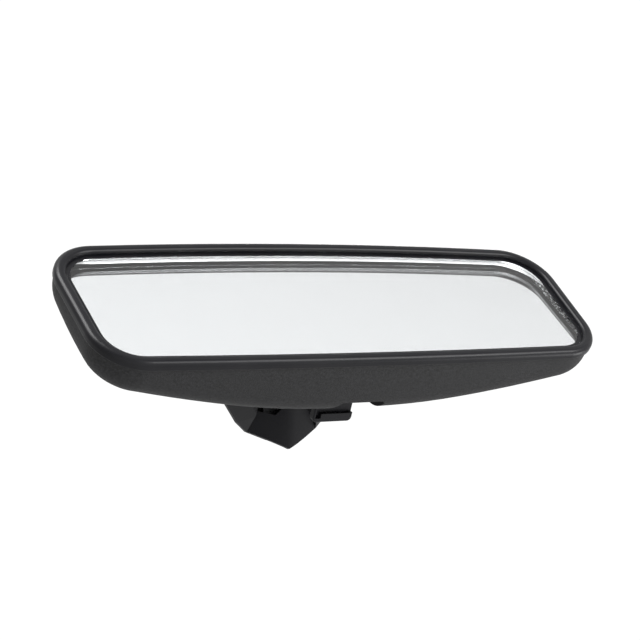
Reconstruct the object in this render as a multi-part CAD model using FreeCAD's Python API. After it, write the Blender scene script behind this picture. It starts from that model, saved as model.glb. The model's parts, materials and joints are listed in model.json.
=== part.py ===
import FreeCAD, Part
import math
import os

# Interior day/night rearview mirror.  Millimetres, +Z up, +X to the right as the
# driver sees it, +Y forward to the windscreen.  Origin: centre of the bonding face.

V = FreeCAD.Vector
X_AXIS = V(1, 0, 0)
Y_AXIS = V(0, 1, 0)
Z_AXIS = V(0, 0, 1)
GAP = 0.05                      # assembly gap between parts of one body

# Windscreen and head position
WINDSCREEN_ANGLE = 45.0         # rake of the windscreen from the horizontal
HEAD_ORIGIN = V(0, -61.56, -16.56)  # centre of the bezel ring

# Bezel ring, measured on the centreline of its bead
TOP_HALF = 116.0
BOTTOM_HALF = 114.0
HALF_HEIGHT = 32.5
TOP_BOW = 3.8
BOTTOM_BOW = 1.5
TOP_CORNER = 18.8
BOTTOM_CORNER = 17.9
BEAD = 2.4                      # half width of the bead
BEAD_REAR = 1.6                 # the case starts here
LIP_EDGE = 1.55                 # glass pocket wall, inside the centreline
FEATHER = 4.2                   # thin lip that lies on the glass, inside the centreline
FEATHER_THICK = 0.3
TONGUE_DEPTH = 7.0
TONGUE_OUT = 0.3
POCKET_OUT = 0.2                # front of the case is opened this far for the tongue

# Glass stack
GLASS_THIN = 3.2                # at the bottom edge
GLASS_THICK = 6.6               # at the top edge: a wedge of three degrees
GLASS_INSET = LIP_EDGE + 0.1
COATING_INSET = 1.85
COATING = 0.2
FOAM_INSET = 8.0
FOAM = 1.5

# Case
WALL = 2.2
CASE_OUT = 1.6                  # case wall outside the bead centreline
SIDE_WALL = 1.9
CASE_DRAFT = 0.03
PEAK_DEPTH = 34.0               # rear bulge at mid height
END_DEPTH = 14.0                # case depth at the ends
REAR_ROUND = 12.5
INNER_ROUND = 10.5
STEM_HOLE_R = 14.0
STEM_HOLE_Z = 4.8
LEVER_SLOT = ((-6.8, 21.8), (11.8, 21.8), (13.4, 23.6), (13.4, 50.0),
              (-9.9, 50.0), (-9.9, 26.5), (-8.0, 23.4))
LEVER_SLOT_TOP = -12.5
RIB_X = (48.0, 84.0)
RIB_FRONT = 9.0
RIB = 1.8
BOSS_R = 3.4
FAR = 45.0                      # beyond every surface of the case

# Ball joint and day/night mechanism, in head coordinates
BALL = V(0, 22, 0)
BALL_R = 7.0
LINER_IN = 7.08
LINER_OUT = 8.4
WASHER_IN = 8.48
WASHER_OUT = 9.4
CUP_R = 9.48
STEM_ANGLE = math.degrees(math.atan2(-HEAD_ORIGIN.z, -HEAD_ORIGIN.y - BALL.y))
UPPER_PIVOT = V(0, 15, 20)
LEVER_AXIS = V(0, 24, -20)
CAM_THROW = 4.0
FLIP = 45.0
PIVOT_PIN_R = 1.5
SMALL_PIN_R = 1.25
PIN_HALF = 22.4
EAR_IN = 17.8
EAR_OUT = 20.8
FRAME_FRONT = 18.4
FRAME_REAR = 20.6
FRAME_HALF = 33.0
FRAME_LOW = -30.0
FRAME_HIGH = 27.0
FRAME_BAR = 3.2                 # width of the strips above and below the window
FRAME_SCREWS = ((27, 17), (-27, 17), (27, -17), (-27, -17))
FRAME_HOLE_R = 1.6
PILOT_R = 1.1
CLAMP_SCREW_AT = 8.2
CLAMP_HOLE_R = 1.4
CLAMP_R = 14.0
CLAMP_THICK = 4.5
CLAMP_SEAT = 3.2                # screw seats above the face of the bracket
BRACKET_HALF = 17.2
BRACKET_FRONT = 11.2
BRACKET_HEIGHT = 13.0
BRACKET_ARM_IN = 11.0
BRACKET_ARM_REAR = 18.8
BRACKET_ARM_TOP = 24.0
FORK_IN = 10.0
FORK_OUT = 13.0
FORK = ((13, -11), (22, -11), (26.2, -13.2), (26.2, -17.8), (18.2, -17.8), (13, -13))
STUD_NECK_R = 3.6
STUD_COLLAR_R = 4.6
STUD_COLLAR = (17.0, 19.5)      # distances from the centre of the ball
STUD_R = 3.0
STUD_END = 31.0

# Lever
LEVER_HALF = 9.0
HUB_R = 4.4
CAM_BOSS_R = 2.3
TAB_ROOT = V(0, 32.6, -22.1)    # underside of the tab, at the neck
TAB_DROOP = 15.0
TAB_HALF = 9.2
TAB_RUN = 9.0
TAB_THICK = 3.6
TAB_WALL = 0.9
TAB_TRAY = 1.9                  # depth of the hollow under the tab
GRIP_RUN = 3.8
GRIP_CORNER = 2.5               # small pocket at one end of the grip bar

# Foot on the windscreen, in (across, up the glass, off the glass)
BUTTON_HALF_LEN = 11.0
BUTTON_NARROW = 6.5
BUTTON_WIDE = 8.0
BUTTON_BASE = 0.5
BUTTON_TOP = 3.8
FIT = 0.12
FOOT_LOW = 0.6
FOOT_EDGE = 2.2                 # top of the upright edge of the foot
FOOT_TOP = 8.7
COVER = 2.0                     # thickness of the cover
COVER_GAP = 0.1
ARM_NEAR = 19.6                 # ends of the arm, from the centre of the ball
ARM_FAR = 38.0
ARM_NEAR_R = 5.2
ARM_FAR_R = 9.5
ARM_CLEAR = 0.5
GRUB_R = 2.5
GRUB_TOP = 7.1
GRUB_SOCKET_R = 1.2
SET_SCREW_AT = V(0, -7, 0)
POCKET_FLOOR = 4.9              # above the button
POCKET_DEEP = 1.8               # beside the button


# ---------------------------------------------------------------- helpers
def box(x0, x1, y0, y1, z0, z1):
    return Part.makeBox(x1 - x0, y1 - y0, z1 - z0, V(x0, y0, z0))


def rod(radius, start, end):
    along = end - start
    return Part.makeCylinder(radius, along.Length, start, along)


def x_rod(radius, centre, half):
    return rod(radius, centre - X_AXIS * half, centre + X_AXIS * half)


def polygon_face(points):
    return Part.Face(Part.makePolygon(list(points) + [points[0]]))


def yz_plate(points, x0, x1):
    """Plate across X from an outline of (y, z) points."""
    face = polygon_face([V(x0, y, z) for y, z in points])
    return face.extrude(X_AXIS * (x1 - x0))


def fuse(shapes):
    whole = shapes[0].multiFuse(shapes[1:])
    return whole.removeSplitter()


def mirrored(shape):
    return shape.mirror(V(0, 0, 0), X_AXIS)


def both_sides(shape):
    return [shape, mirrored(shape)]


def fillet(shape, radius, wanted):
    """Round the edges the test picks out."""
    edges = [edge for edge in shape.Edges if wanted(edge)]
    return shape.makeFillet(radius, edges)


# ---------------------------------------------------------------- outlines
def sharp_outline():
    """Bezel centreline before its corners are rounded, at y = 0."""
    top_l = V(-TOP_HALF, 0, HALF_HEIGHT)
    top_r = V(TOP_HALF, 0, HALF_HEIGHT)
    low_l = V(-BOTTOM_HALF, 0, -HALF_HEIGHT)
    low_r = V(BOTTOM_HALF, 0, -HALF_HEIGHT)
    top = Part.Arc(top_l, V(0, 0, HALF_HEIGHT + TOP_BOW), top_r).toShape()
    low = Part.Arc(low_r, V(0, 0, -HALF_HEIGHT - BOTTOM_BOW), low_l).toShape()
    return Part.Wire([top, Part.makeLine(top_r, low_r), low, Part.makeLine(low_l, top_l)])


def rounded_outline():
    """Face inside the bezel centreline, at y = 0."""
    block = Part.Face(sharp_outline()).extrude(Y_AXIS * 10)
    upright = [e for e in block.Edges if abs(e.tangentAt(e.FirstParameter).y) > 0.99]
    top = [e for e in upright if e.CenterOfMass.z > 0]
    block = block.makeFillet(TOP_CORNER, top)
    upright = [e for e in block.Edges if e.CenterOfMass.z < -HALF_HEIGHT + 0.01]
    low = [e for e in upright if abs(e.tangentAt(e.FirstParameter).y) > 0.99]
    block = block.makeFillet(BOTTOM_CORNER, low)
    front = [f for f in block.Faces if abs(f.CenterOfMass.y) < 1e-6]
    return front[0]


OUTLINE = rounded_outline()


def ring_face(outward):
    """The outline grown or shrunk by a distance."""
    if abs(outward) < 1e-9:
        return OUTLINE
    return OUTLINE.makeOffset2D(outward)


def prism(outward, y0, y1):
    face = ring_face(outward).copy()
    face.translate(Y_AXIS * y0)
    return face.extrude(Y_AXIS * (y1 - y0))


# ---------------------------------------------------------------- glass stack
def behind_glass(distance):
    """Everything behind a plane parallel to the back of the wedge glass."""
    slope = (GLASS_THICK - GLASS_THIN) / (2 * HALF_HEIGHT)
    mid = (GLASS_THICK + GLASS_THIN) / 2 + distance
    low = mid - slope * 60
    high = mid + slope * 60
    outline = [(low, -60), (60, -60), (60, 60), (high, 60)]
    return yz_plate(outline, -150, 150)


def glass_layer(inset, front, rear):
    plate = prism(-inset, -1, 20)
    return plate.common(behind_glass(front)).cut(behind_glass(rear))


def prismatic_glass():
    glass = prism(-GLASS_INSET, 0, 20).cut(behind_glass(0))
    return fillet(glass, 0.5, lambda e: max(v.Y for v in e.Vertexes) < 0.01)


def reflective_coating():
    return glass_layer(COATING_INSET, GAP, GAP + COATING)


def glass_foam_pad():
    start = COATING + 2 * GAP
    return glass_layer(FOAM_INSET, start, start + FOAM)


def bezel_rim():
    bead = prism(BEAD, -BEAD, BEAD_REAR).cut(prism(-BEAD, -9, 9))

    def is_front_outer(edge):
        at_front = abs(edge.CenterOfMass.y + BEAD) < 1e-4
        return at_front and is_outer(edge)

    def is_outer(edge):
        point = edge.valueAt((edge.FirstParameter + edge.LastParameter) / 2)
        vertex = Part.Vertex(V(point.x, 0, point.z))
        return vertex.distToShape(OUTLINE)[0] > 0.5

    def is_front_inner(edge):
        return abs(edge.CenterOfMass.y + BEAD) < 1e-4 and not is_outer(edge)

    def is_rear_outer(edge):
        return abs(edge.CenterOfMass.y - BEAD_REAR) < 1e-4 and is_outer(edge)

    bead = fillet(bead, 2.2, is_front_outer)
    bead = fillet(bead, 1.7, is_front_inner)
    bead = fillet(bead, 0.6, is_rear_outer)
    bead = bead.cut(prism(-LIP_EDGE, 0, 9))
    feather = prism(-LIP_EDGE, -FEATHER_THICK, 0).cut(prism(-FEATHER, -9, 9))
    tongue = prism(-TONGUE_OUT, BEAD_REAR - 1, TONGUE_DEPTH)
    tongue = tongue.cut(prism(-LIP_EDGE, -9, 9))
    return fuse([bead, feather, tongue])


# ---------------------------------------------------------------- case
def plan_curve(z, inset):
    """Rear curve of the case in plan at one height."""
    peak = PEAK_DEPTH + 0.023 * z - 0.0045 * z * z - inset
    end = END_DEPTH - 0.05 * z - 0.0025 * z * z - inset
    shape = ((-128, -0.16), (-96, 0.30), (-64, 0.68), (-32, 0.937), (0, 1.0),
             (32, 0.937), (64, 0.68), (96, 0.30), (128, -0.16))
    points = [V(x, end + (peak - end) * f, z) for x, f in shape]
    curve = Part.BSplineCurve()
    curve.interpolate(points)
    return curve.toShape(), points


def bulge(inset):
    wires = []
    for z in (-42, 0, 42):
        curve, points = plan_curve(z, inset)
        front_l = V(-128, -9, z)
        front_r = V(128, -9, z)
        sides = [Part.makeLine(points[-1], front_r), Part.makeLine(front_r, front_l),
                 Part.makeLine(front_l, points[0])]
        wires.append(Part.Wire([curve] + sides))
    return Part.makeLoft(wires, True)


def drafted_prism(outward, y0, y1):
    near = ring_face(outward).OuterWire.copy()
    far = ring_face(outward - CASE_DRAFT * (y1 - y0)).OuterWire.copy()
    near.translate(Y_AXIS * y0)
    far.translate(Y_AXIS * y1)
    return Part.makeLoft([near, far], True, True)


def case_body(outward, inset, start, rounding):
    solid = drafted_prism(outward, start, 45).common(bulge(inset))

    def is_rear_edge(edge):
        middle = edge.valueAt((edge.FirstParameter + edge.LastParameter) / 2)
        along = abs(edge.tangentAt(edge.FirstParameter).y)
        return middle.y > start + 2 and not (along > 0.9 and edge.Curve.TypeId == "Part::GeomLine")

    return fillet(solid, rounding, is_rear_edge)


def screw_boss(x, z):
    return rod(BOSS_R, V(x, FRAME_REAR, z), V(x, FAR, z))


def case_ribs(outer):
    plates = []
    for x in RIB_X:
        plates += both_sides(box(x - RIB / 2, x + RIB / 2, RIB_FRONT, FAR, -FAR, FAR))
    ribs = Part.makeCompound(plates)
    bosses = Part.makeCompound([screw_boss(x, z) for x, z in FRAME_SCREWS])
    return ribs.common(outer).Solids + bosses.common(outer).Solids


def lever_opening():
    """Slot through the lower rear edge, with slanted ends where it starts."""
    face = polygon_face([V(x, y, -FAR) for x, y in LEVER_SLOT])
    return face.extrude(Z_AXIS * (FAR + LEVER_SLOT_TOP))


def mirror_housing():
    outer = case_body(CASE_OUT, 0, BEAD_REAR, REAR_ROUND)
    inner = case_body(CASE_OUT - SIDE_WALL, WALL, BEAD_REAR - 0.5, INNER_ROUND)
    shell = outer.cut(inner)
    shell = shell.fuse(case_ribs(outer)).removeSplitter()
    shell = shell.cut(prism(-POCKET_OUT, 0, TONGUE_DEPTH + 0.2))
    hole = rod(STEM_HOLE_R, V(0, 26, STEM_HOLE_Z), V(0, 50, STEM_HOLE_Z))
    shell = shell.cut(hole).cut(lever_opening())
    for x, z in FRAME_SCREWS:
        shell = shell.cut(rod(PILOT_R, V(x, FRAME_REAR - 1, z), V(x, FRAME_REAR + 5, z)))
    return max(shell.Solids, key=lambda s: s.Volume)


# ---------------------------------------------------------------- frame in the case
def ear(axis, front, rear, below):
    return box(EAR_IN, EAR_OUT, front, rear, axis.z - below, axis.z + 4.5)


def pivot_frame():
    plate = box(-FRAME_HALF, FRAME_HALF, FRAME_FRONT, FRAME_REAR, FRAME_LOW, FRAME_HIGH)
    plate = fillet(plate, 5, lambda e: abs(e.tangentAt(e.FirstParameter).y) > 0.99)
    plate = plate.cut(box(-EAR_IN, EAR_IN, 0, 40, FRAME_LOW + FRAME_BAR, FRAME_HIGH - FRAME_BAR))
    ears = both_sides(ear(UPPER_PIVOT, 11, FRAME_FRONT + 1, 4.5))
    ears += both_sides(ear(LEVER_AXIS, FRAME_FRONT, 26.8, 3.0))
    frame = fuse([plate] + ears)
    frame = frame.cut(x_rod(PIVOT_PIN_R + GAP, UPPER_PIVOT, 30))
    frame = frame.cut(x_rod(SMALL_PIN_R + GAP, LEVER_AXIS, 30))
    for x, z in FRAME_SCREWS:
        frame = frame.cut(rod(FRAME_HOLE_R, V(x, 0, z), V(x, 40, z)))
    return frame


def pan_screw(head_r, head_h, shank_r, length, seat, direction):
    """Recessed pan head screw; the seat is under the head."""
    head = rod(head_r, seat - direction * head_h, seat)
    head = head.makeFillet(head_h * 0.45, [head.Edges[0]])
    shank = rod(shank_r, seat - direction * 0.2, seat + direction * length)
    recess = Part.makeCone(head_r * 0.5, head_r * 0.2, head_h * 0.6,
                           seat - direction * head_h, direction)
    return head.fuse(shank).cut(recess).removeSplitter()


def frame_screws():
    seats = [V(x, FRAME_FRONT - GAP, z) for x, z in FRAME_SCREWS]
    return Part.makeCompound([pan_screw(2.8, 1.6, 1.05, 6.4, s, Y_AXIS) for s in seats])


def upper_pivot_pin():
    return x_rod(PIVOT_PIN_R, UPPER_PIVOT, PIN_HALF)


def pin_clips(axis, radius):
    """Pair of open retaining rings, one on each end of a pin."""
    centre = axis + X_AXIS * (EAR_OUT + 0.1)
    ring = rod(3.2, centre, centre + X_AXIS * 0.6)
    ring = ring.cut(rod(radius + GAP, centre - X_AXIS, centre + X_AXIS * 2))
    ring = ring.cut(box(15, 30, axis.y - 0.9, axis.y + 0.9, axis.z - 6, axis.z))
    return Part.makeCompound(both_sides(ring))


def lever_pivot_pin():
    return x_rod(SMALL_PIN_R, LEVER_AXIS, PIN_HALF)


def detent_spring():
    """Leaf that bears on the lever hub to hold day or night."""
    thick = 0.5
    outer = [(16.6, -14.5), (16.6, -24.5), (17.3, -27.2), (17.3, -29.6)]
    inner = [(y + thick, z) for y, z in reversed(outer)]
    leaf = yz_plate(outer + inner, -5, 5)
    foot = box(-5, 5, 17.3, FRAME_FRONT - GAP, -29.6, -27.2)
    return fuse([leaf, foot])


# ---------------------------------------------------------------- ball joint
def stem_axis():
    angle = math.radians(STEM_ANGLE)
    return V(0, math.cos(angle), math.sin(angle))


def along_stem(distance):
    return BALL + stem_axis() * distance


def stem_cone(half_angle, reach=30.0):
    """Room the neck needs in the socket parts."""
    wide = reach * math.tan(math.radians(half_angle))
    return Part.makeCone(0, wide, reach, BALL, stem_axis())


def ball_shell(inner, outer):
    return Part.makeSphere(outer, BALL).cut(Part.makeSphere(inner, BALL))


def ball_stud():
    ball = Part.makeSphere(BALL_R, BALL)
    start, end = STUD_COLLAR
    neck = rod(STUD_NECK_R, along_stem(BALL_R - 2), along_stem(end))
    collar = rod(STUD_COLLAR_R, along_stem(start), along_stem(end))
    shank = rod(STUD_R, along_stem(end - 0.5), along_stem(STUD_END))
    return fuse([ball, neck, collar, shank])


def socket_liner():
    return ball_shell(LINER_IN, LINER_OUT).cut(stem_cone(58))


def socket_washer():
    front = box(-20, 20, 0, BALL.y - 0.6, -20, 20)
    shell = ball_shell(WASHER_IN, WASHER_OUT).common(front)
    return shell.cut(rod(4.0, V(0, 0, 0), V(0, 20, 0)))


def bracket_arm():
    """Lug that carries the upper pivot pin."""
    arm = box(BRACKET_ARM_IN, BRACKET_HALF, BRACKET_FRONT, BRACKET_ARM_REAR, 8, BRACKET_ARM_TOP)
    middle = (BRACKET_ARM_IN + BRACKET_HALF) / 2

    def is_end(edge):
        centre = edge.CenterOfMass
        return centre.z > BRACKET_ARM_TOP - 0.1 and abs(centre.x - middle) < 1

    return fillet(arm, 3.5, is_end)


def toggle_bracket():
    half = BRACKET_HALF
    height = BRACKET_HEIGHT
    block = box(-half, half, BRACKET_FRONT, BALL.y, -height, height)
    block = fillet(block, 3, lambda e: abs(e.tangentAt(e.FirstParameter).y) > 0.99)
    fork = yz_plate(FORK, FORK_IN, FORK_OUT)
    body = fuse([block] + both_sides(bracket_arm()) + both_sides(fork))
    body = body.cut(Part.makeSphere(CUP_R, BALL))
    body = body.cut(x_rod(PIVOT_PIN_R + GAP, UPPER_PIVOT, 30))
    body = body.cut(cam_slot())
    for x, z in clamp_screw_places():
        body = body.cut(rod(SMALL_PIN_R + GAP, V(x, 14, z), V(x, 30, z)))
    return body


def cam_place():
    half = math.radians(FLIP / 2)
    return LEVER_AXIS + V(0, -math.sin(half), math.cos(half)) * CAM_THROW


def cam_slot():
    """Open ended slots for the cam pin, running away from the upper pivot."""
    centre = cam_place()
    down = centre - UPPER_PIVOT
    down.normalize()
    side = V(0, -down.z, down.y)
    half = SMALL_PIN_R + 0.3
    start = centre - down * 1.2
    corners = [start + side * half, start - side * half,
               start - side * half + down * 9, start + side * half + down * 9]
    slot = yz_plate([(p.y, p.z) for p in corners], -14, 14)
    return slot.fuse(x_rod(half, start, 14))


def clamp_screw_places():
    a = CLAMP_SCREW_AT
    return [(a, a), (-a, a), (a, -a), (-a, -a)]


def socket_clamp_ring():
    ring = rod(CLAMP_R, V(0, BALL.y + GAP, 0), V(0, BALL.y + CLAMP_THICK, 0))
    ring = ring.common(box(-20, 20, 0, 40, -BRACKET_HEIGHT + 0.1, 20))
    ring = ring.cut(Part.makeSphere(WASHER_IN, BALL)).cut(stem_cone(60))
    for x, z in clamp_screw_places():
        seat = V(x, BALL.y + CLAMP_SEAT, z)
        ring = ring.cut(rod(CLAMP_HOLE_R, V(x, 20, z), V(x, 40, z)))
        ring = ring.cut(rod(2.4, seat, V(x, 40, z)))
    return ring


def clamp_screws():
    seats = [V(x, BALL.y + CLAMP_SEAT, z) for x, z in clamp_screw_places()]
    screws = [pan_screw(2.2, 1.4, 1.25, 8.0, s, Y_AXIS * -1) for s in seats]
    return Part.makeCompound(screws)


# ---------------------------------------------------------------- lever
def lever_tab():
    """Drooping finger tab: grip bar at the tip, a hollow behind it, a small corner pocket."""
    tab = box(-TAB_HALF, TAB_HALF, 0, TAB_RUN, 0, TAB_THICK)
    tab = fillet(tab, 2.0, lambda e: abs(e.tangentAt(e.FirstParameter).z) > 0.99
                 and e.CenterOfMass.y > TAB_RUN - 1)
    tab = fillet(tab, 0.7, lambda e: abs(e.tangentAt(e.FirstParameter).z) < 0.1)
    side = TAB_HALF - TAB_WALL
    grip = TAB_RUN - GRIP_RUN
    tab = tab.cut(box(-side, TAB_HALF + 1, -1, grip, -1, TAB_TRAY))
    tab = tab.cut(box(-side, GRIP_CORNER - side, grip - 1, TAB_RUN - 1.8, -1, TAB_TRAY))
    tab.rotate(V(0, 0, 0), X_AXIS, -TAB_DROOP)
    tab.translate(TAB_ROOT)
    return tab


def dip_lever():
    hub = fuse([x_rod(HUB_R, LEVER_AXIS, LEVER_HALF), x_rod(CAM_BOSS_R, cam_place(), LEVER_HALF)])
    neck = box(-6, 6, 26, TAB_ROOT.y + 1.4, -21.6, -18.0)
    lever = fuse([hub, neck, lever_tab()])
    lever = lever.cut(x_rod(SMALL_PIN_R + GAP, LEVER_AXIS, 30))
    return lever.cut(x_rod(SMALL_PIN_R + GAP, cam_place(), 30))


def cam_pin():
    return x_rod(SMALL_PIN_R, cam_place(), FORK_OUT + 0.6)


# ---------------------------------------------------------------- windscreen foot
def foot_prism(points, h0, h1):
    face = polygon_face([V(u, t, h0) for u, t in points])
    return face.extrude(Z_AXIS * (h1 - h0))


def symmetric(points):
    """Close a right-hand outline with its mirror image."""
    left = [(-u, t) for u, t in reversed(points) if abs(u) > 1e-9]
    return points + left


def foot_wire(points, height):
    corners = [V(u, t, height) for u, t in points]
    return Part.makePolygon(corners + [corners[0]])


def dovetail(grow, t0, t1):
    low = BUTTON_BASE - grow * 5
    outline = [V(-BUTTON_NARROW - grow, t0, low), V(BUTTON_NARROW + grow, t0, low),
               V(BUTTON_WIDE + grow, t0, BUTTON_TOP + grow),
               V(-BUTTON_WIDE - grow, t0, BUTTON_TOP + grow)]
    return polygon_face(outline).extrude(Y_AXIS * (t1 - t0))


def crown(u, fall):
    """Drop of the crowned face away from its middle line: rounded, then nearly straight."""
    return fall * u * u / (abs(u) + 15)


def cover_surface(drop):
    """Solid below the crowned face of the foot."""
    wires = []
    for t, ridge, fall in ((-26, 8.1, 0.72), (-15.8, 8.8, 0.72), (4, 10.7, 0.52)):
        points = [V(u, t, ridge - drop - crown(u, fall)) for u in (-22, -14, -7, 0, 7, 14, 22)]
        curve = Part.BSplineCurve()
        curve.interpolate(points)
        low_l = V(-22, t, -12)
        low_r = V(22, t, -12)
        sides = [Part.makeLine(points[-1], low_r), Part.makeLine(low_r, low_l),
                 Part.makeLine(low_l, points[0])]
        wires.append(Part.Wire([curve.toShape()] + sides))
    return Part.makeLoft(wires, True)


COVER_OUTLINE = [(0, -24.2), (16.6, -16.0), (13.2, -7.5), (11.4, -3), (-1.2, -3),
                 (-1.8, -5.9), (-5.8, -9.7), (-13.2, -7.5), (-16.6, -16.0)]
SEAT_OUTLINE = symmetric([(0, -26), (16.9, -16.5), (14.8, -7.2), (12.6, -2)])
POCKET_OUTLINE = [(-13.8, -8.0), (-5.8, -10.2), (-1.2, -6.6), (-1.2, -1.6), (-13.8, -1.6)]
BASE_LOW = symmetric([(0, -22.6), (17.0, -15.9), (21.3, -11.7), (26.4, -3.1), (27.2, 4),
                      (19, 15), (10, 21.5)])
BASE_HIGH = symmetric([(0, -14), (11, -12.5), (14.6, -10), (17.4, -4.6), (16.2, 5),
                       (12.4, 12), (7, 16.5)])


def foot_arm(grow):
    """Tapered arm from the foot towards the ball, in foot coordinates."""
    start = along_stem(ARM_NEAR)
    length = ARM_FAR - ARM_NEAR
    return to_foot(Part.makeCone(ARM_NEAR_R + grow, ARM_FAR_R + grow, length, start, stem_axis()))


def to_foot(shape):
    """Head coordinates to foot coordinates."""
    moved = shape.copy()
    moved.translate(HEAD_ORIGIN)
    moved.rotate(V(0, 0, 0), X_AXIS, -(180 - WINDSCREEN_ANGLE))
    return moved


def from_foot(shape):
    placed = shape.copy()
    placed.rotate(V(0, 0, 0), X_AXIS, 180 - WINDSCREEN_ANGLE)
    return placed


def foot_base():
    plinth = foot_prism(BASE_LOW, FOOT_LOW, FOOT_EDGE)
    hip = Part.makeLoft([foot_wire(BASE_LOW, FOOT_EDGE), foot_wire(BASE_HIGH, FOOT_TOP)],
                        True, True)
    return fuse([plinth, hip])


def cover_pocket():
    """Deep recess beside the arm, deeper still past the edge of the button."""
    beside = box(-30, -BUTTON_WIDE - 1.6, -30, 30, 0, 30)
    deep = foot_prism(POCKET_OUTLINE, POCKET_DEEP, 20).common(beside)
    return foot_prism(POCKET_OUTLINE, POCKET_FLOOR, 20).fuse(deep)


def mount_foot():
    above = foot_prism(SEAT_OUTLINE, 0, 20).cut(cover_surface(COVER + COVER_GAP))
    arm = foot_arm(0).common(box(-30, 30, -30, 40, BUTTON_TOP + 1, 60))
    foot = fuse([foot_base().cut(above).cut(cover_pocket()), arm])
    foot = foot.cut(dovetail(FIT, -40, BUTTON_HALF_LEN + FIT))
    foot = foot.cut(to_foot(rod(STUD_R + GAP, along_stem(10), along_stem(STUD_END + 0.2))))
    return foot.cut(rod(GRUB_R + GAP, SET_SCREW_AT, SET_SCREW_AT + Z_AXIS * 20))


def foot_cover():
    plate = foot_prism(COVER_OUTLINE, -1, 20).common(cover_surface(0))
    return plate.cut(cover_surface(COVER)).cut(foot_arm(ARM_CLEAR))


def windscreen_button():
    button = dovetail(0, -BUTTON_HALF_LEN, BUTTON_HALF_LEN)
    return fillet(button, 2.0, lambda e: abs(e.tangentAt(e.FirstParameter).z) > 0.6)


def adhesive_pad():
    return box(-BUTTON_NARROW, BUTTON_NARROW, -BUTTON_HALF_LEN, BUTTON_HALF_LEN,
               0, BUTTON_BASE)


def foot_set_screw():
    base = SET_SCREW_AT + Z_AXIS * (BUTTON_TOP + GAP)
    grub = rod(GRUB_R, base, SET_SCREW_AT + Z_AXIS * GRUB_TOP)
    socket = rod(GRUB_SOCKET_R, base + Z_AXIS * 1.6, SET_SCREW_AT + Z_AXIS * 9)
    return grub.cut(socket)


# ---------------------------------------------------------------- output
HEAD_PARTS = (bezel_rim, prismatic_glass, reflective_coating, glass_foam_pad,
              mirror_housing, pivot_frame, frame_screws, upper_pivot_pin,
              lever_pivot_pin, detent_spring, ball_stud, socket_liner, socket_washer,
              toggle_bracket, socket_clamp_ring, clamp_screws, dip_lever, cam_pin)
FOOT_PARTS = (mount_foot, foot_cover, windscreen_button, adhesive_pad, foot_set_screw)


def in_head(shape):
    placed = shape.copy()
    placed.translate(HEAD_ORIGIN)
    return placed


def save(name, shape):
    if not shape.isValid() or not shape.Solids:
        raise ValueError("bad solid: " + name)
    shape.exportStep(os.path.join("parts", name + ".step"))


def main():
    os.makedirs("parts", exist_ok=True)
    for maker in HEAD_PARTS:
        save(maker.__name__, in_head(maker()))
    save("upper_pin_clips", in_head(pin_clips(UPPER_PIVOT, PIVOT_PIN_R)))
    save("lever_pin_clips", in_head(pin_clips(LEVER_AXIS, SMALL_PIN_R)))
    for maker in FOOT_PARTS:
        save(maker.__name__, from_foot(maker()))


main()
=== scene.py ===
import bpy
import bmesh
import json
import math
from mathutils import Matrix, Vector


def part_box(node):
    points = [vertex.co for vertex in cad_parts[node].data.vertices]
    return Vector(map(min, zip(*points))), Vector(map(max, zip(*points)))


# Looks for an interior rearview mirror.  Metres, in the CAD frame: +Z up, +Y to the
# windscreen, origin at the centre of the bonding face.

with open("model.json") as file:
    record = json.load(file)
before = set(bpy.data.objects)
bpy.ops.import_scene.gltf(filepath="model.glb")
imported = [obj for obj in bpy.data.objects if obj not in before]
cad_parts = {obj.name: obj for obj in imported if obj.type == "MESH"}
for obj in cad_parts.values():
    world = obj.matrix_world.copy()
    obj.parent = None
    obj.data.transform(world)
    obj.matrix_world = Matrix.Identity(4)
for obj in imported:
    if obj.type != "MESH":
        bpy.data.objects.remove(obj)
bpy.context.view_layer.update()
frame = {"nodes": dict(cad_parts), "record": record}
NODES = frame["nodes"]

WHITE = (1.0, 1.0, 1.0, 1.0)
WORLD_STRENGTH = 1.06

FLOOR_Z = -0.75
FLOOR_COLOUR = (0.90, 0.90, 0.90)
FLOOR_RADII = (2.0, 6.0)
FLOOR_SIDES = 64

HEAD_AT = (0.0, -0.06, -0.02)      # where the lamps point
CAMERA_LENS = 102.95
CAMERA_SHIFT = (-0.0314, -0.0235)
CAMERA_PLACE = (-0.38990, -0.45646, -0.49959)
CAMERA_AXES = ((0.84798752, -0.32808046, -0.4162696),       # right
               (0.00803688, -0.77734067, 0.62902853),       # up
               (0.52995526, 0.53675385, 0.65653845))        # ahead

GLASS_IOR = 1.52
TOP_BOW = 0.282                    # rise of the top edge of the glass: TOP_BOW * x * x
PAINTED_SHADE_MARGIN = (0.0013, 0.0015)     # depth below the top edge where the painted shade line ends and the coating turns bright
SPECKLED_END = (0.0026, 0.0036)    # distance from each end where the specks stop
# painted shade: dull grey painted into the coating in a hair line under its top edge
SILVER_PAINTED_SHADE = (0.33, 0.335, 0.34)
SILVER_BRIGHT = (0.968, 0.978, 0.988)


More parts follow.
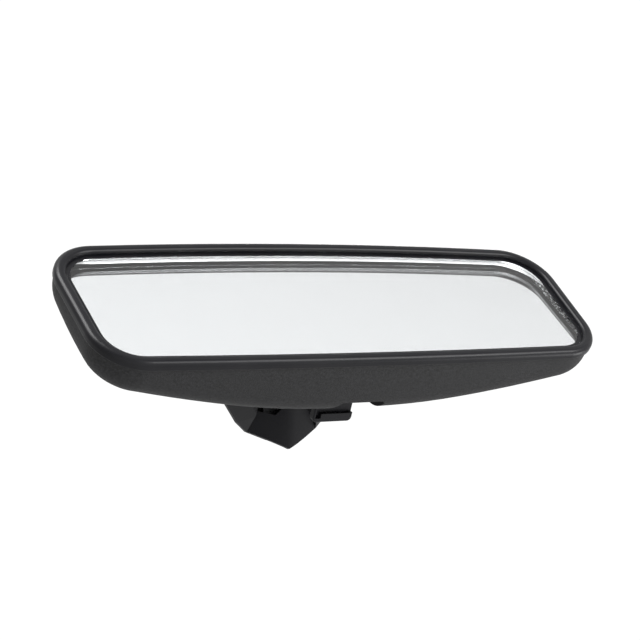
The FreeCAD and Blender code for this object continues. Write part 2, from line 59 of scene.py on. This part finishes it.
# ------------------------------------------------------------- material helpers
class Nodes:
    """A material with a Principled shader and short calls to add nodes to it."""

    def __init__(self, name):
        self.mat = bpy.data.materials.new(name)
        self.mat.use_nodes = True
        self.tree = self.mat.node_tree
        self.shader = self.tree.nodes["Principled BSDF"]
        self.coords = self.add("ShaderNodeTexCoord").outputs["Object"]

    def add(self, kind, **values):
        node = self.tree.nodes.new(kind)
        for key, value in values.items():
            setattr(node, key, value)
        return node

    def link(self, out, into):
        self.tree.links.new(out, into)

    def set(self, **values):
        for key, value in values.items():
            self.shader.inputs[key.replace("_", " ")].default_value = value

    def noise(self, scale, detail=2.0, roughness=0.5, stretch=(1, 1, 1)):
        mapping = self.add("ShaderNodeMapping")
        mapping.inputs["Scale"].default_value = stretch
        self.link(self.coords, mapping.inputs["Vector"])
        node = self.add("ShaderNodeTexNoise")
        node.inputs["Scale"].default_value = scale
        node.inputs["Detail"].default_value = detail
        node.inputs["Roughness"].default_value = roughness
        self.link(mapping.outputs[0], node.inputs["Vector"])
        return node.outputs["Fac"]

    def axis(self, letter):
        node = self.add("ShaderNodeSeparateXYZ")
        self.link(self.coords, node.inputs[0])
        return node.outputs[letter]

    def cells(self, scale):
        node = self.add("ShaderNodeTexVoronoi")
        node.inputs["Scale"].default_value = scale
        self.link(self.coords, node.inputs["Vector"])
        return node.outputs["Distance"]

    def spread(self, value, low, high, start=0.0, end=1.0):
        node = self.add("ShaderNodeMapRange")
        node.inputs["From Min"].default_value = start
        node.inputs["From Max"].default_value = end
        node.inputs["To Min"].default_value = low
        node.inputs["To Max"].default_value = high
        self.link(value, node.inputs["Value"])
        return node.outputs["Result"]

    def math(self, operation, a, b):
        node = self.add("ShaderNodeMath", operation=operation)
        for socket, value in zip(node.inputs, (a, b)):
            if isinstance(value, float):
                socket.default_value = value
            else:
                self.link(value, socket)
        return node.outputs[0]

    def colours(self, factor, first, second):
        node = self.add("ShaderNodeMix", data_type="RGBA")
        self.link(factor, node.inputs["Factor"])
        node.inputs["A"].default_value = (*first, 1)
        node.inputs["B"].default_value = (*second, 1)
        self.link(node.outputs["Result"], self.shader.inputs["Base Color"])

    def rough(self, value):
        self.link(value, self.shader.inputs["Roughness"])

    def fade(self, value):
        """The middle of a noise, stretched to the full range."""
        return self.spread(value, 0.0, 1.0, 0.3, 0.7)

    def uneven_rough(self, slow, low, high, fine, swing):
        """Roughness that drifts from low to high and flickers by swing."""
        flicker = self.spread(fine, -swing, swing, 0.3, 0.7)
        self.rough(self.math("ADD", self.spread(slow, low, high), flicker))

    def bump(self, height, depth, strength=1.0):
        node = self.add("ShaderNodeBump")
        node.inputs["Strength"].default_value = strength
        node.inputs["Distance"].default_value = depth
        self.link(height, node.inputs["Height"])
        previous = self.shader.inputs["Normal"].links
        if previous:
            self.link(previous[0].from_socket, node.inputs["Normal"])
        self.link(node.outputs["Normal"], self.shader.inputs["Normal"])


def grained_plastic(name, dark, light, grain, depth, rough, specular):
    """Spark-eroded mould texture: close pits, coarser mottling, a slow change of gloss."""
    m = Nodes(name)
    pits = m.cells(grain)
    mottle = m.noise(grain * 0.42, 4.0, 0.75)
    slow = m.noise(35.0, 2.0)
    height = m.math("ADD", m.math("MULTIPLY", pits, 0.6), mottle)
    m.colours(m.spread(mottle, 0.0, 1.0, 0.36, 0.64), dark, light)
    m.uneven_rough(slow, rough - 0.04, rough + 0.05, mottle, 0.05)
    m.bump(height, depth)
    m.set(Specular_IOR_Level=specular)
    return m.mat


def smooth_plastic(name, dark, light, rough, specular):
    """Moulded plastic or soft vinyl with faint waves and a fine skin."""
    m = Nodes(name)
    slow = m.noise(60.0, 3.0)
    fine = m.noise(2600.0, 2.0)
    m.colours(m.fade(slow), dark, light)
    m.uneven_rough(slow, rough - 0.03, rough + 0.03, fine, 0.03)
    m.bump(fine, 0.000008, 0.6)
    m.bump(slow, 0.00006, 0.5)
    m.set(Specular_IOR_Level=specular)
    return m.mat


def powder_coat(name, dark, light, rough, specular):
    """Satin coating with a slight orange peel."""
    m = Nodes(name)
    peel = m.noise(900.0, 2.0)
    slow = m.noise(50.0, 3.0)
    m.colours(m.fade(slow), dark, light)
    m.uneven_rough(slow, rough - 0.04, rough + 0.04, peel, 0.05)
    m.bump(peel, 0.00004, 0.7)
    m.set(Specular_IOR_Level=specular)
    return m.mat


def metal(name, dark, light, rough, stretch=(1, 1, 1), scale=900.0):
    """Drawn, ground or plated metal: fine lines along one axis, slow stains."""
    m = Nodes(name)
    lines = m.noise(scale, 3.0, 0.6, stretch)
    slow = m.noise(90.0, 3.0)
    m.colours(m.fade(slow), dark, light)
    m.uneven_rough(slow, rough - 0.05, rough + 0.06, lines, 0.06)
    m.bump(lines, 0.00001, 0.6)
    m.set(Metallic=1.0)
    return m.mat


def foam(name):
    m = Nodes(name)
    cells = m.cells(900.0)
    slow = m.noise(60.0)
    m.colours(m.spread(cells, 0.0, 1.0, 0.1, 0.6), (0.012, 0.012, 0.012), (0.04, 0.04, 0.04))
    m.rough(m.spread(slow, 0.85, 0.98))
    m.bump(cells, 0.0003)
    return m.mat


def clear_glass(name):
    """Polished glass with a faint tint."""
    m = Nodes(name)
    slow = m.noise(12.0, 1.0)
    m.colours(m.spread(slow, 0.0, 1.0, 0.2, 0.8), (0.988, 0.996, 0.997), (0.992, 0.998, 0.999))
    m.set(Roughness=0.0, IOR=GLASS_IOR, Transmission_Weight=1.0)
    return m.mat


def silvering(name):
    """Bright coating with painted shade, a dull grey hair line under its top edge, and
    speckled at its ends.
    """
    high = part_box("reflective_coating")[1]
    m = Nodes(name)
    x, z = m.axis("X"), m.axis("Z")
    slow = m.noise(12.0, 1.0)
    bow = m.math("MULTIPLY", m.math("MULTIPLY", x, x), TOP_BOW)
    below_top = m.math("SUBTRACT", m.math("SUBTRACT", float(high[2]), z), bow)
    # painted shade: the coating is painted dull grey in a hair line under its bowed top edge
    m.colours(m.spread(below_top, 0.0, 1.0, *PAINTED_SHADE_MARGIN), SILVER_PAINTED_SHADE, SILVER_BRIGHT)
    from_end = m.math("SUBTRACT", float(high[0]), m.math("ABSOLUTE", x, 0.0))
    band = m.spread(from_end, 1.0, 0.0, *SPECKLED_END)
    specks = m.spread(m.noise(1100.0, 3.0, 0.7), 0.0, 0.75, 0.50, 0.60)
    m.rough(m.math("ADD", m.spread(slow, 0.012, 0.02), m.math("MULTIPLY", band, specks)))
    m.set(Metallic=1.0)
    return m.mat


def adhesive(name):
    m = Nodes(name)
    slow = m.noise(300.0, 3.0)
    m.colours(m.fade(slow), (0.45, 0.43, 0.38), (0.58, 0.56, 0.5))
    m.rough(m.spread(slow, 0.35, 0.55))
    m.bump(slow, 0.00004)
    return m.mat


# ------------------------------------------------------------- materials by slot
LOOKS = {
    "case_plastic": grained_plastic("case_plastic", (0.003, 0.003, 0.003),
                                    (0.018, 0.018, 0.019), 3600.0, 0.00010, 0.62, 0.13),
    "rim_vinyl": smooth_plastic("rim_vinyl", (0.002, 0.002, 0.003), (0.004, 0.004, 0.005),
                                0.36, 0.13),
    "cover_plastic": smooth_plastic("cover_plastic", (0.004, 0.004, 0.005),
                                    (0.006, 0.006, 0.007), 0.50, 0.07),
    "lever_plastic": smooth_plastic("lever_plastic", (0.004, 0.004, 0.005),
                                    (0.006, 0.006, 0.007), 0.42, 0.10),
    "bracket_plastic": grained_plastic("bracket_plastic", (0.02, 0.02, 0.021),
                                       (0.035, 0.035, 0.037), 1500.0, 0.00005, 0.55, 0.5),
    "mount_dark": powder_coat("mount_dark", (0.006, 0.006, 0.007), (0.010, 0.010, 0.011),
                              0.44, 0.20),
    "frame_steel": powder_coat("frame_steel", (0.10, 0.10, 0.105), (0.15, 0.15, 0.155),
                               0.45, 0.5),
    "nylon": smooth_plastic("nylon", (0.70, 0.68, 0.61), (0.76, 0.74, 0.68), 0.45, 0.5),
    "button_steel": metal("button_steel", (0.40, 0.40, 0.40), (0.52, 0.52, 0.52), 0.42),
    "screw_steel": metal("screw_steel", (0.42, 0.42, 0.44), (0.58, 0.58, 0.60), 0.32),
    "stud_steel": metal("stud_steel", (0.16, 0.16, 0.17), (0.24, 0.24, 0.25), 0.34,
                        (1, 0.2, 0.2)),
    "spring_steel": metal("spring_steel", (0.28, 0.27, 0.26), (0.38, 0.37, 0.36), 0.30,
                          (1, 1, 0.1)),
    "clamp_metal": metal("clamp_metal", (0.50, 0.50, 0.51), (0.62, 0.62, 0.63), 0.38),
    "pin_steel": metal("pin_steel", (0.45, 0.45, 0.46), (0.60, 0.60, 0.61), 0.22,
                       (0.1, 1, 1), 1400.0),
    "foam": foam("foam"),
    "mirror_glass": clear_glass("mirror_glass"),
    "silvering": silvering("silvering"),
    "adhesive": adhesive("adhesive"),
}


def dress_nodes():
    for entry in frame["record"]["subparts"]:
        node = NODES[entry["node"]]
        look = LOOKS[entry["material_slot"]]
        if not node.material_slots:
            node.data.materials.append(look)
        for slot in node.material_slots:
            slot.material = look


# ------------------------------------------------------------- stage, light, camera
def plain_material(name, colour, rough):
    m = Nodes(name)
    slow = m.noise(2.0, 2.0)
    tint = tuple(c * 0.985 for c in colour)
    m.colours(m.fade(slow), tint, colour)
    m.rough(m.spread(slow, rough - 0.02, rough + 0.02))
    return m.mat


def make_floor():
    """Large pale floor well under the mirror, which hangs above it."""
    mesh = bpy.data.meshes.new("floor")
    bm = bmesh.new()
    angles = [math.tau * k / FLOOR_SIDES for k in range(FLOOR_SIDES)]
    centre = bm.verts.new((0.0, 0.0, FLOOR_Z))
    near, far = ([bm.verts.new((radius * math.cos(a), radius * math.sin(a), FLOOR_Z))
                  for a in angles] for radius in FLOOR_RADII)
    for k in range(FLOOR_SIDES):
        nxt = (k + 1) % FLOOR_SIDES
        bm.faces.new((centre, near[k], near[nxt]))
        bm.faces.new((near[k], far[k], far[nxt], near[nxt]))
    bm.to_mesh(mesh)
    bm.free()
    floor = bpy.data.objects.new("floor", mesh)
    bpy.context.collection.objects.link(floor)
    mesh.materials.append(plain_material("floor_paper", FLOOR_COLOUR, 0.8))


def make_world():
    """Even white studio."""
    world = bpy.data.worlds.new("studio")
    bpy.context.scene.world = world
    world.use_nodes = True
    back = world.node_tree.nodes["Background"]
    back.inputs["Color"].default_value = WHITE
    back.inputs["Strength"].default_value = WORLD_STRENGTH


def area_light(name, place, target, size, watts):
    data = bpy.data.lights.new(name, "AREA")
    data.shape = "RECTANGLE"
    data.size, data.size_y = size
    data.energy = watts
    lamp = bpy.data.objects.new(name, data)
    lamp.location = place
    aim = Vector(target) - Vector(place)
    lamp.rotation_euler = aim.to_track_quat("-Z", "Y").to_euler()
    bpy.context.collection.objects.link(lamp)


def make_lights():
    """Soft boxes: high left and low right in front, a small one under the right end,
    and one high behind."""
    area_light("key", (-0.41, -0.79, 0.70), HEAD_AT, (0.60, 0.60), 24.0)
    area_light("low", (0.60, -0.92, -0.36), HEAD_AT, (0.55, 0.40), 14.0)
    area_light("under", (0.52, -0.02, -0.36), (0.09, -0.03, -0.04), (0.25, 0.25), 2.0)
    area_light("back", (0.75, 0.45, 0.95), HEAD_AT, (0.40, 0.40), 6.0)


def make_camera():
    data = bpy.data.cameras.new("camera")
    data.sensor_width = 36.0
    data.lens = CAMERA_LENS
    data.shift_x, data.shift_y = CAMERA_SHIFT
    data.clip_start = 0.01
    data.clip_end = 30.0
    camera = bpy.data.objects.new("camera", data)
    right, up, ahead = (Vector(v).normalized() for v in CAMERA_AXES)
    turn = Matrix((right, up, -ahead)).transposed()
    camera.matrix_world = Matrix.Translation(CAMERA_PLACE) @ turn.to_4x4()
    bpy.context.collection.objects.link(camera)
    bpy.context.scene.camera = camera


make_camera()
make_world()
make_floor()
make_lights()
dress_nodes()
bpy.context.scene.view_settings.view_transform = "Standard"
